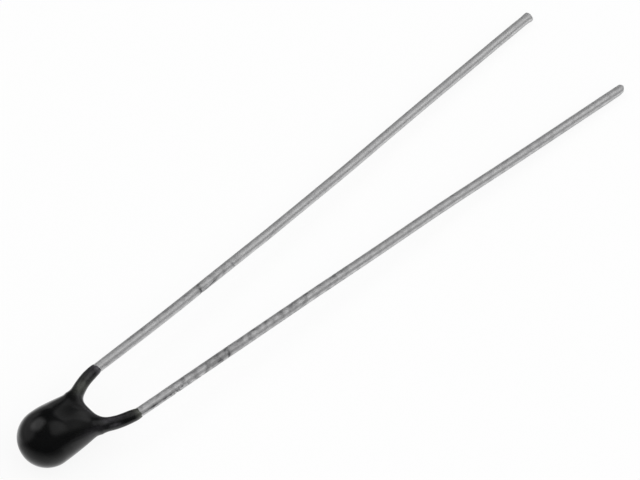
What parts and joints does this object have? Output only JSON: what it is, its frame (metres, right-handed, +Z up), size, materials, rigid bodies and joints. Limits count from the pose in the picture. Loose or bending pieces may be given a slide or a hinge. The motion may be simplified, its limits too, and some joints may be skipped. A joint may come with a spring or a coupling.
{
  "type": "thermistor",
  "caption": "Bead thermistor with a round black epoxy-dipped head, two short coated legs and two long bare tinned wire leads that spread slightly.",
  "frame": {"origin": "middle of the part's footprint, on the surface it lies on", "axes": "+X along the part from the head to the lead tips, +Y across it toward the left lead, +Z up"},
  "size_m": [0.0333, 0.0064, 0.0026],
  "materials": {
    "epoxy": "glossy black dipped epoxy",
    "tinned_wire": "satin tin plating on drawn copper wire",
    "ceramic": "matt dark sintered ceramic",
    "silver": "matt fired silver",
    "solder": "satin solder"
  },
  "bodies": {
    "root": {"epoxy_coat": "epoxy", "ceramic_chip": "ceramic", "left_electrode": "silver", "right_electrode": "silver", "left_solder": "solder", "right_solder": "solder", "left_lead": "tinned_wire", "right_lead": "tinned_wire"}
  },
  "joints": []
}
